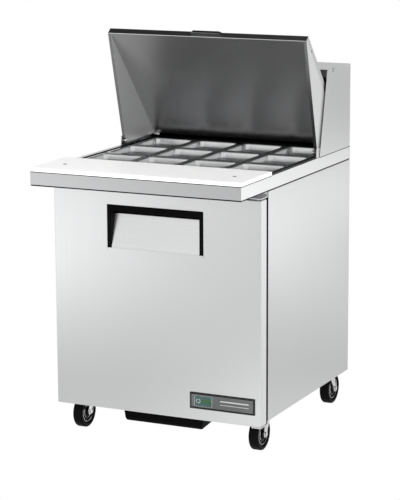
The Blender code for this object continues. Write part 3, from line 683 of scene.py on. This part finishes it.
def back():
    """The rear cover with hooded louvres over its slots, screws along its edges and the cord's gland."""
    refine("back_panel", 0.0004)
    refine("cord_gland", 0.0004)
    low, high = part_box("back_panel")
    bm = bmesh.new()
    louvres, first, pitch = 8, 0.2300, 0.0360
    for n in range(louvres):
        section = louvre_section(high.y, first + n * pitch)
        for x_low, x_high in ((-0.2905, -0.0295), (0.0295, 0.2905)):
            add_prism(bm, section, x_low, x_high, along_x)
    from_bmesh("back_louvres", bm, "cabinet", "galvanised")
    for n, z in enumerate((low.z + 0.012, 0.36, 0.58, high.z - 0.012)):
        for side, word in SIDES:
            at = (side * (high.x - 0.010), high.y, z)
            screw_head(f"back_screw_{n}_{word}", at, (0, 1, 0), 0.0042, "cabinet")
    plate_low, plate_high = (-0.060, high.y + 0.0001, 0.640), (0.060, high.y + 0.0011, 0.700)
    block_piece("rating_plate", plate_low, plate_high, "cabinet", "galvanised", "fins", 0.0004)


def underside():
    """Floor, base frame and raceways, and the moulded air scoop."""
    refine("floor_panel", 0.0005)
    refine("caster_base_frame", 0.0006)
    refine("air_intake", 0.0040, 4)


def inside():
    """Liner, breaker frame, foam, shelf rails and wire shelves, and the cooling system."""
    refine("cabinet_liner", 0.0, 0)
    refine("door_frame", 0.0006)
    refine("insulation_foam", 0.0, 0)
    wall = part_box("cabinet_liner")[1].x - 0.0015
    for side, word in SIDES:
        x = sorted((side * (wall - 0.0003), side * (wall - 0.0052)))
        for place, y in (("front", -0.185), ("rear", 0.150)):
            rail_low, rail_high = (x[0], y - 0.008, 0.175), (x[1], y + 0.008, 0.620)
            name = f"shelf_rail_{place}_{word}"
            block_piece(name, rail_low, rail_high, "cabinet", "liner_steel", "bright_steel", 0.0008)
    for level in ("lower", "upper"):
        wire_shelf(f"shelf_{level}")
    cooling()


def wire_shelf(node):
    """A welded wire shelf: a stout rim, cross wires below and fine wires from front to back."""
    low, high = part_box(node)
    rim, fine, wires, first = 0.0028, 0.0016, 40, 0.016
    z = high.z - rim
    outline = rounded_outline((low.x + rim, low.y + rim), (high.x - rim, high.y - rim), 0.016, 4)
    bm = bmesh.new()
    add_tube(bm, [Vector((x, y, z)) for x, y in outline], rim, 10, closed=True)
    for n in range(wires):
        x = low.x + first + (high.x - low.x - 2 * first) * n / (wires - 1)
        add_tube(bm, [Vector((x, low.y + rim, z + 0.0012)), Vector((x, high.y - rim, z + 0.0012))], fine, 8)
    for y in (low.y + 0.10, (low.y + high.y) / 2, high.y - 0.10):
        ends = [Vector((x, y, z - 0.0012)) for x in (low.x + rim, high.x - rim)]
        add_tube(bm, ends, fine * 1.3, 8)
    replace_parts(from_bmesh(f"{node}_wires", bm, "cabinet", "shelf_wire"), node)


def fin_coil(node, tubes):
    """Thin upright fins threaded on copper tubes that turn back at the ends."""
    low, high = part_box(node)
    pitch, thick, end, radius, bend_depth = 0.0042, 0.0006, 0.010, 0.0034, 0.0035
    count = int((high.x - low.x - 2 * end) / pitch)
    bm = bmesh.new()
    for n in range(count + 1):
        x = low.x + end + n * pitch
        add_block(bm, (x, low.y + 0.001, low.z + 0.001), (x + thick, high.y - 0.001, high.z - 0.001))
    for x in (low.x + end - 0.003, high.x - end + 0.002):
        add_block(bm, (x, low.y, low.z), (x + 0.0014, high.y, high.z))
    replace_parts(from_bmesh(f"{node}_fins", bm, "cabinet", "coil_fin"), node)
    depth = (low.y + high.y) / 2
    rise = (high.z - low.z) / (tubes + 1)
    left, right = low.x + 0.004, high.x - 0.004
    bm = bmesh.new()
    for n in range(tubes):
        z = low.z + rise * (n + 1)
        add_tube(bm, [Vector((left, depth, z)), Vector((right, depth, z))], radius, 10)
    half_turn = [-math.pi / 2 + math.pi * k / 8 for k in range(9)]
    for n in range(tubes - 1):
        x, reach = (left, -bend_depth) if n % 2 else (right, bend_depth)
        z = low.z + rise * (n + 1.5)
        bend = [Vector((x + reach * math.cos(a), depth, z + rise / 2 * math.sin(a))) for a in half_turn]
        add_tube(bm, bend, radius, 10)
    from_bmesh(f"{node}_tubes", bm, "cabinet", "coil_fin", "copper")


def cooling():
    """Compressor with its seam, terminal cover and pipe; shroud, fan, and both coils."""
    refine("compressor", 0.0010, smooth_angle=50)
    refine("fan_shroud", 0.0008)
    refine("condenser_fan", 0.0008)
    fin_coil("condenser_coil", 9)
    fin_coil("evaporator_coil", 3)
    low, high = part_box("compressor")
    centre = (low + high) / 2
    seam = [(0.0698, -0.003), (0.0722, -0.002), (0.0722, 0.002), (0.0698, 0.003)]
    seam_at = (centre.x, centre.y, low.z + 0.072)
    turned_piece("compressor_seam", seam, seam_at, (0, 0, 1), 64, "cabinet", "compressor_black", ring=True)
    cover_low = (high.x - 0.010, centre.y - 0.020, low.z + 0.040)
    cover_high = (high.x + 0.022, centre.y + 0.020, low.z + 0.085)
    name = "compressor_terminal_cover"
    block_piece(name, cover_low, cover_high, "cabinet", "black_plastic", width=0.004, segments=3)
    coil_low, coil_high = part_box("condenser_coil")
    top = Vector((centre.x + 0.030, centre.y, high.z - 0.012))
    rise = ((0, 0, 0), (0, 0, 0.030), (0.012, -0.006, 0.046), (0.050, -0.040, 0.054))
    route = [top + Vector(step) for step in rise]
    coil_top = Vector((coil_low.x, coil_low.y, coil_high.z))
    route += [coil_top + Vector(step) for step in ((-0.010, 0.020, -0.030), (0.006, 0.022, -0.034))]
    bm = bmesh.new()
    add_tube(bm, smooth_route(route, 6), 0.0034, 10)
    from_bmesh("discharge_pipe", bm, "cabinet", "coil_fin", "copper")


def smooth_route(points, steps):
    """A Catmull-Rom curve through points."""
    ends = [points[0] * 2 - points[1], *points, points[-1] * 2 - points[-2]]
    made = []
    for a, b, c, d in zip(ends, ends[1:], ends[2:], ends[3:]):
        for k in range(steps):
            t = k / steps
            square = (2 * a - 5 * b + 4 * c - d) * t * t
            cube = (3 * b - a - 3 * c + d) * t**3
            made.append(0.5 * (2 * b + (c - a) * t + square + cube))
    return made + [points[-1]]


# ---- door


def door():
    """Skin, side edges with bright plates that paint their highlight, inner panel, gasket, handle cup, grip plate
    painted lighter as light with its foot strip, and badge.
    """
    low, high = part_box("door_skin")
    cup_low, cup_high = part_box("door_handle_cup")
    room, step_in = 0.0004, 0.0003
    xs = (low.x + step_in, cup_low.x - room, cup_high.x + room, high.x - step_in)
    zs = (low.z, cup_low.z - room, cup_high.z + room, high.z)
    bm = bmesh.new()
    add_plate_with_window(bm, xs, zs, low.y, high.y)
    bmesh.ops.recalc_face_normals(bm, faces=bm.faces)
    rim_edges = [
        e
        for e in bm.edges
        if all(on_rim(v.co, xs, zs) for v in e.verts) and e.is_manifold and e.calc_face_angle(0) > 0.5
    ]
    bmesh.ops.bevel(
        bm, geom=rim_edges, offset=0.0028, segments=5, profile=0.5, affect="EDGES", clamp_overlap=True
    )
    made = from_bmesh("door_skin_formed", bm, "door", "stainless")
    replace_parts(made, "door_skin")
    soften(made, 0.0009, 2, 50)
    # Painted highlight: thin plates of brighter steel on the door's side faces.
    for side, word in SIDES:
        x = sorted((side * high.x, side * (high.x - 0.0004)))
        edge_low, edge_high = (x[0], low.y + 0.0034, low.z + 0.003), (x[1], high.y - 0.001, high.z - 0.003)
        block_piece(f"door_edge_{word}", edge_low, edge_high, "door", "stainless", "painted_highlight_steel")
    refine("door_inner_panel", 0.0004)
    door_gasket()
    refine("door_handle_cup", 0.0012, 3)
    # Painted light: the grip plate takes a lighter copy of the steel.
    grip = refine("door_grip_plate", 0.0004, look="painted_light_grip_steel")
    foot_low = (cup_low.x, low.y - 0.0003, zs[1] - 0.0022)
    foot_high = (cup_high.x, low.y + 0.0002, zs[1] + 0.0048)
    block_piece("door_grip_foot_strip", foot_low, foot_high, "door", "stainless", None, 0.0002)
    badge()


def door_gasket():
    """The inner panel's raised vault, and the ribbed gasket round it."""
    low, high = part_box("door_gasket")
    inset = 0.0165
    vault_low = (low.x + inset, low.y, low.z + inset)
    vault_high = (high.x - inset, low.y + 0.0070, high.z - inset)
    block_piece("door_inner_vault", vault_low, vault_high, "door", "liner_steel", width=0.0055, segments=4)
    width, folds = 0.014, 3
    step = (high.y - low.y) / folds
    section = [(0.0, 0.0), (width, 0.0)]
    for n in range(folds):
        section += [(width - 0.0002, step * (n + 0.12)), (width, step * (n + 0.5))]
        section += [(width - 0.0018, step * (n + 0.96))]
    section += [(0.002, high.y - low.y)]
    for n in reversed(range(folds)):
        section += [(0.0018, step * (n + 0.96)), (0.0, step * (n + 0.5)), (0.0002, step * (n + 0.12))]
    bm = bmesh.new()
    sweep_frame(bm, section[:-1], low, high)
    made = from_bmesh("door_gasket_bellows", bm, "door", "black_rubber", None, 60)
    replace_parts(made, "door_gasket")


def on_rim(point, xs, zs):
    """True for a point on the outer outline of the door."""
    near = 1e-5
    return (
        min(abs(point.x - xs[0]), abs(point.x - xs[-1])) < near
        or min(abs(point.z - zs[0]), abs(point.z - zs[-1])) < near
    )


def add_plate_with_window(bm, xs, zs, front, rear):
    """A slab between two planes with a window through its middle cell."""
    grid = {}
    for y in (front, rear):
        for i, x in enumerate(xs):
            for k, z in enumerate(zs):
                grid[i, k, y] = bm.verts.new((x, y, z))
    last_x, last_z = len(xs) - 1, len(zs) - 1
    for i in range(last_x):
        for k in range(last_z):
            if (i, k) != (1, 1):
                for y in (front, rear):
                    bm.faces.new((grid[i, k, y], grid[i + 1, k, y], grid[i + 1, k + 1, y], grid[i, k + 1, y]))
    walls = [((i, k), (i + 1, k)) for k in (0, last_z) for i in range(last_x)]
    walls += [((i, k), (i, k + 1)) for i in (0, last_x) for k in range(last_z)]
    walls += [((1, 1), (2, 1)), ((1, 2), (2, 2)), ((1, 1), (1, 2)), ((2, 1), (2, 2))]
    for a, b in walls:
        bm.faces.new((grid[*a, front], grid[*b, front], grid[*b, rear], grid[*a, rear]))


def sweep_frame(bm, section, low, high):
    """A closed section of (inward, back) points swept round a rectangle with mitred corners."""
    rings = []
    for sx, sz in ((-1, -1), (1, -1), (1, 1), (-1, 1)):
        ring = []
        for inward, back_by in section:
            x = (low.x + inward) if sx < 0 else (high.x - inward)
            z = (low.z + inward) if sz < 0 else (high.z - inward)
            ring.append(bm.verts.new((x, low.y + back_by, z)))
        rings.append(ring)
    count = len(section)
    for ring, following in zip(rings, rings[1:] + rings[:1]):
        for k in range(count):
            j = (k + 1) % count
            bm.faces.new((ring[k], ring[j], following[j], following[k]))


def badge():
    """A plate with a rim, a grey field, a window with a dial and a green display, and two plain bars."""
    low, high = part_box("door_badge")
    width, tall = high.x - low.x, high.z - low.z
    face, base = low.y, high.y

    def inset_outline(inset, radius, steps=5):
        corner_low, corner_high = (low.x + inset, low.z + inset), (high.x - inset, high.z - inset)
        return rounded_outline(corner_low, corner_high, radius, steps)

    def slab(name, outline, front, rear, look, edge=0.0):
        bm = bmesh.new()
        add_prism(bm, outline, front, rear, along_y)
        made = from_bmesh(name, bm, "door", "badge", look)
        if edge:
            soften(made, edge, 2)
        return made

    def add_loop(bm, outline, y, radius):
        add_tube(bm, [Vector((x, y, z)) for x, z in outline], radius, 8, closed=True)

    plate = slab("badge_plate", inset_outline(0.0, 0.002), face + 0.0006, base, "black_plastic", 0.0003)
    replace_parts(plate, "door_badge")
    slab("badge_field", inset_outline(0.0056, 0.0015), face + 0.0004, base - 0.0005, "badge_grey", 0.0001)
    bm = bmesh.new()
    add_loop(bm, inset_outline(0.0022, 0.002, 3), face + 0.0008, 0.0012)
    from_bmesh("badge_rim", bm, "door", "badge", "shaded_steel")
    left, right = low.x + 0.07 * width, low.x + 0.35 * width
    foot, top = low.z + 0.17 * tall, high.z - 0.17 * tall
    window = rounded_outline((left, foot), (right, top), 0.003)
    slab("badge_window", window, face + 0.0002, face + 0.0016, "badge_glass", 0.0002)
    middle = (foot + top) / 2
    trim = rounded_outline((left + 0.001, foot + 0.001), (right - 0.001, top - 0.001), 0.003, 3)
    turns = [2 * math.pi * k / 28 for k in range(28)]
    dial = [(left + 0.014 + 0.0062 * math.cos(a), middle + 0.0062 * math.sin(a)) for a in turns]
    bm = bmesh.new()
    add_loop(bm, trim, face + 0.0002, 0.0006)
    add_loop(bm, dial, face + 0.0002, 0.0011)
    from_bmesh("badge_window_trim", bm, "door", "badge", "bright_steel")
    display = rounded_outline((left + 0.026, middle - 0.005), (right - 0.006, middle + 0.004), 0.001)
    slab("badge_display", display, face, face + 0.0010, "badge_green")
    bm = bmesh.new()
    bar_low, bar_high = low.x + 0.47 * width, high.x - 0.09 * width
    for share, thick in ((0.62, 0.0034), (0.40, 0.0014)):
        z = low.z + share * tall
        bar = rounded_outline((bar_low, z - thick / 2), (bar_high, z + thick / 2), thick * 0.45)
        add_prism(bm, bar, face + 0.0001, face + 0.0012, along_y)
    from_bmesh("badge_bars", bm, "door", "badge", "bright_steel")


def hinges():
    """The two hinge brackets, and the screws that hold the upper one."""
    for node in ("upper_hinge_bracket", "lower_hinge_bracket"):
        refine(node, 0.0006, look="bright_steel")
    low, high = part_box("upper_hinge_bracket")
    for n, share in enumerate((0.2, 0.55)):
        x = low.x + share * (high.x - low.x)
        screw_head(f"hinge_screw_{n}", (x, low.y + 0.012, 0.7985), (0, 0, -1), 0.0036, "cabinet")


# ---- hood and lid


def pull_in(made, step):
    """Move a piece's outermost side face towards the middle, so that the screws stay inside the outline."""
    edge = max(abs(v.co.x) for v in made.data.vertices)
    for vertex in made.data.vertices:
        if abs(vertex.co.x) > edge - 1e-4:
            vertex.co.x -= math.copysign(step, vertex.co.x)


def hood():
    """The fixed hood's sheets with the cover painted darker as shade, its side screws, and black sheets that paint
    the shade inside it.
    """
    for node in ("hood_side_left", "hood_side_right"):
        pull_in(refine(node, 0.0004, look="stainless_upright"), SCREW_RISE)
    # Painted shade: the cover takes the darker copy of the sheet.
    refine("hood_cover", 0.0006, look="painted_shade_steel")
    low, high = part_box("hood_side_right")
    head, foot = high.z - 0.006, low.z + 0.012
    spots = ((0.2815, head), (0.1830, foot), (0.4080, head), (0.4080, foot))
    for side, word in SIDES:
        face = side * (high.x - SCREW_RISE)
        for n, (y, z) in enumerate(spots):
            large = n == 0
            radius = 0.0050 if large else 0.0032
            screw_head(f"hood_screw_{word}_{n}", (face, y, z), (side, 0, 0), radius, "cabinet", washer=large)
    hood_painted_shade()


def hood_painted_shade():
    """Black sheets that paint the shade on the deck under the hood and on the lower part of its rear wall."""
    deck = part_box("counter_frame")[1].z
    well_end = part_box("well_frame")[1].y
    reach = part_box("hood_side_right")[0].x - 0.0015
    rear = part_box("hood_cover")[1].y - 0.0018
    deck_low, deck_high = (-reach, well_end + 0.0006, deck + 0.0001), (reach, rear, deck + 0.0006)
    block_piece("hood_deck_shade", deck_low, deck_high, "cabinet", "black_plastic")
    wall_low, wall_high = (-reach, rear - 0.0006, deck + 0.0007), (reach, rear, deck + 0.1400)
    block_piece("hood_rear_shade", wall_low, wall_high, "cabinet", "black_plastic")


def lid():
    """Outer skin, liner with cheeks, lip handle, pins with caps, brackets, side screws and stop knobs."""
    refine("lid_skin", 0.0012, 3, look="stainless_across")
    lid_liner()
    lip_handle()
    for side, word in SIDES:
        refine(f"lid_pin_{word}", 0.0008, 3, smooth_angle=40)
        refine(f"lid_bracket_{word}", 0.0005)
    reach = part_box("lid_liner")[1].x
    stop = [(0.0, 0.0), (0.0040, 0.0), (0.0040, 0.010), (0.0072, 0.010), (0.0072, 0.020)]
    stop += [(0.0055, 0.0215), (0.0, 0.0215)]
    cap = [(0.0052, 0.0002), (0.0088, 0.0002), (0.0092, 0.0010), (0.0092, 0.0048), (0.0076, 0.0066)]
    cap += [(0.0052, 0.0066)]
    for side, word in SIDES:
        inward = (-side, 0, 0)
        screw_head(f"lid_side_screw_{word}", (side * reach, 0.1120, 1.2000), (side, 0, 0), 0.0030, "lid")
        stop_at = (side * (reach - 0.0101), 0.3760, 0.8682)
        turned_piece(f"lid_stop_knob_{word}", stop, stop_at, inward, 28, "lid", "bright_steel")
        pin_low, pin_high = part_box(f"lid_pin_{word}")
        pin = (pin_low + pin_high) / 2
        cap_at = (side * (reach - 0.0100), pin.y, pin.z)
        turned_piece(f"lid_pin_cap_{word}", cap, cap_at, inward, 32, "lid", "bright_steel", ring=True)


def lid_front_point():
    """The middle of the lid's front edge, read from the CAD liner."""
    mesh = frame["nodes"]["lid_liner"].data
    front = max((v.co for v in mesh.vertices), key=lambda p: p.z - p.y)
    return Vector((0, front.y, front.z))


def lid_liner():
    """The liner as three pieces of one sheet in three tones for light and shade: the panel painted darker, the
    cheeks painted lighter and their rims painted dark as shade; and a bead along the front.
    """
    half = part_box("lid_liner")[1].x
    between = half - 0.0100

    def in_cheek(face):
        return abs(face.calc_center_median().x) > between - 1e-4

    def upright(face):
        return abs(face.normal.x) > 0.5

    def share(name, look, keep):
        return share_of_node("lid_liner", name, "lid", look, keep, 0.0007)

    # Painted light and shade: the cheeks take a lighter copy of the steel, the rims a near-black one and the panel
    # a darker one.
    cheeks = share("lid_cheeks", "painted_light_cheek_steel", lambda f: in_cheek(f) and upright(f))
    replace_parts(cheeks, "lid_liner")
    share("lid_cheek_rims", "painted_shade_rim_steel", lambda f: in_cheek(f) and not upright(f))
    share("lid_liner_panel", "painted_shade_liner_steel", lambda f: not in_cheek(f))
    front = lid_front_point()
    reach = half - 0.0016
    bm = bmesh.new()
    along = [Vector((x, front.y + 0.0002, front.z)) for x in (-reach, 0.0, reach)]
    add_tube(bm, along, 0.0022, 12)
    from_bmesh("lid_front_bead", bm, "lid", "liner_steel", "stainless_across")


def lip_handle():
    """The flat grip on the lid's lip, with sloping ends and rounded edges."""
    bm = copy_of_node("lid_handle")
    tilt = math.radians(49.6)
    along = Vector((0.0, math.cos(tilt), -math.sin(tilt)))
    base = max(v.co.dot(along) for v in bm.verts)
    for vertex in bm.verts:
        if vertex.co.dot(along) < base - 0.002:
            vertex.co.x -= math.copysign(0.0085, vertex.co.x)
    # Painted shade: the handle takes near-black steel that stands in for the shade on it.
    made = from_bmesh("lid_lip_handle", bm, "lid", "stainless", "shaded_steel")
    soften(made, 0.0016, 4, 20)
    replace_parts(made, "lid_handle")


# ---- pan well


def well():
    """The black well frame, the divider bars and the drawn pans."""
    refine("well_frame", 0.0008)
    refine("pan_dividers", 0.0008)
    for node in sorted(frame["nodes"]):
        if node.startswith("pan_") and node != "pan_dividers":
            drawn_pan(node)


def drawn_pan(node):
    """A drawn tub: rolled flange, a stacking step below it, tapered walls and a coved floor."""
    low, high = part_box(node)
    centre = (low + high) / 2
    half_x, half_y = (high.x - low.x) / 2, (high.y - low.y) / 2
    top, floor = high.z, low.z
    flange, wall = 0.0107, 0.0009
    levels = [
        (flange, top - 0.0013, 0.019),
        (0.0004, top - 0.0013, 0.012),
        (0.0, top - 0.0006, 0.012),
        (0.0008, top, 0.012),
        (flange - 0.002, top, 0.018),
        (flange + wall, top - 0.0022, 0.018),
        (flange + wall + 0.0004, top - 0.018, 0.018),
        (flange + wall + 0.0022, top - 0.020, 0.017),
        (flange + 0.0058, floor + 0.012, 0.015),
        (flange + 0.0085, floor + 0.004, 0.014),
        (flange + 0.0140, floor + wall, 0.011),
    ]
    outside = [
        (flange + 0.0140 - wall, floor + 0.0001, 0.012),
        (flange + 0.0072, floor + 0.0035, 0.015),
        (flange + 0.0048, floor + 0.012, 0.016),
        (flange + 0.0014, top - 0.020, 0.018),
        (flange + 0.0001, top - 0.018, 0.019),
    ]
    bm = bmesh.new()
    rings = []
    for inset, z, radius in levels + outside:
        x_end, y_end = half_x - inset, half_y - inset
        outline = rounded_outline((-x_end, -y_end), (x_end, y_end), radius, 6)
        rings.append([bm.verts.new((centre.x + x, centre.y + y, z)) for x, y in outline])
    inner_floor = len(levels) - 1
    for n, (ring, following) in enumerate(zip(rings, rings[1:] + rings[:1])):
        if n == inner_floor:
            bm.faces.new(ring)
            bm.faces.new(following)
            continue
        for k in range(len(ring)):
            j = (k + 1) % len(ring)
            bm.faces.new((ring[k], ring[j], following[j], following[k]))
    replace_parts(from_bmesh(f"{node}_drawn", bm, BODY_OF[node], SLOT_OF[node], "pan_steel", 60), node)


# ---- casters


def casters():
    """Under each corner a fork with its nut and raceway rings, a tyre and a ringed hub."""
    up = (0, 0, 1)
    for where in WHEELS:
        refine(f"caster_fork_{where}", 0.0007, smooth_angle=40)
        swivel = JOINT_AT[f"swivel_{where}"]
        axle = JOINT_AT[f"wheel_{where}"]
        bm = bmesh.new()
        for radius, z in ((0.0218, swivel.z - 0.0006), (0.0196, swivel.z - 0.0074)):
            ring = [(radius, -0.0006), (radius + 0.0009, 0.0), (radius, 0.0006), (radius - 0.0015, 0.0)]
            add_turned(bm, ring, (swivel.x, swivel.y, z), up, 40, ring=True)
        from_bmesh(f"raceway_rings_{where}", bm, f"swivel_{where}", "caster_steel")
        nut = [(0.0, -0.0035), (0.0062, -0.0035), (0.0070, -0.0030), (0.0070, 0.0004), (0.0, 0.0004)]
        nut_at = (swivel.x, swivel.y, swivel.z - 0.0080)
        turned_piece(f"swivel_nut_{where}", nut, nut_at, up, 6, f"swivel_{where}", "caster_steel")
        tyre_and_hub(where, axle)


def tyre_and_hub(where, axle):
    """A tyre with round shoulders, a hub with rings and a recess on both sides, and bright rings on it."""
    low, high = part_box(f"wheel_{where}")
    radius, half = (high.z - low.z) / 2, (high.x - low.x) / 2
    seat, shoulder = 0.0372, 0.0060
    profile = [(seat, -half + 0.0035), (seat + 0.0015, -half + 0.0008), (seat + 0.004, -half)]
    for k in range(9):
        angle = math.pi / 2 * k / 8
        rise, run = shoulder * math.sin(angle), shoulder * math.cos(angle)
        profile.append((radius - shoulder + rise, -half + shoulder - run))
    crown = 0.0002
    profile[-1] = (radius - crown, profile[-1][1])
    profile += [(radius, -0.003), (radius, 0.003)]
    mirror = [(r, -t) for r, t in reversed(profile[:-2])]
    across, body = (1, 0, 0), f"wheel_{where}"
    tyre = turned_piece(
        f"tyre_{where}", profile + mirror, axle, across, 64, body, "tyre", ring=True, smooth_angle=40
    )
    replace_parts(tyre, body)
    face = 0.0128
    side = [
        (0.0048, face + 0.0016),
        (0.0110, face + 0.0016),
        (0.0122, face + 0.0004),
        (0.0130, face - 0.0030),
        (0.0190, face - 0.0036),
        (0.0200, face - 0.0016),
        (0.0216, face - 0.0016),
        (0.0226, face - 0.0038),
        (0.0300, face - 0.0030),
        (0.0312, face - 0.0004),
        (0.0340, face + 0.0002),
        (0.0352, face - 0.0008),
        (0.0371, face - 0.0012),
    ]
    hub = side + [(r, -t) for r, t in reversed(side)]
    turned_piece(f"hub_{where}", hub, axle, across, 56, body, "tyre", "hub_plastic", True, 30)
    outer_ring = ((0.0318, face - 0.0002), (0.0326, face + 0.0007), (0.0334, face + 0.0003))
    inner_ring = ((0.0204, face - 0.0015), (0.0209, face - 0.0008), (0.0214, face - 0.0015))
    bm = bmesh.new()
    for end in (-1, 1):
        for ring in (outer_ring, inner_ring):
            add_turned(bm, [(r, end * t) for r, t in ring], axle, across, 56, ring=True)
    from_bmesh(f"hub_rings_{where}", bm, body, "caster_steel")


# ---- build

LOOKS = make_materials()
make_camera()
make_stage()
counter()
board()
side_panels()
back()
underside()
inside()
door()
hinges()
hood()
lid()
well()
casters()
settle_normals()

# CAD nodes that are still shown take the look of their slot.
for name, node in frame["nodes"].items():
    if not node.hide_render:
        node.data.materials.clear()
        node.data.materials.append(LOOKS[look_of_slot(SLOT_OF[name])])
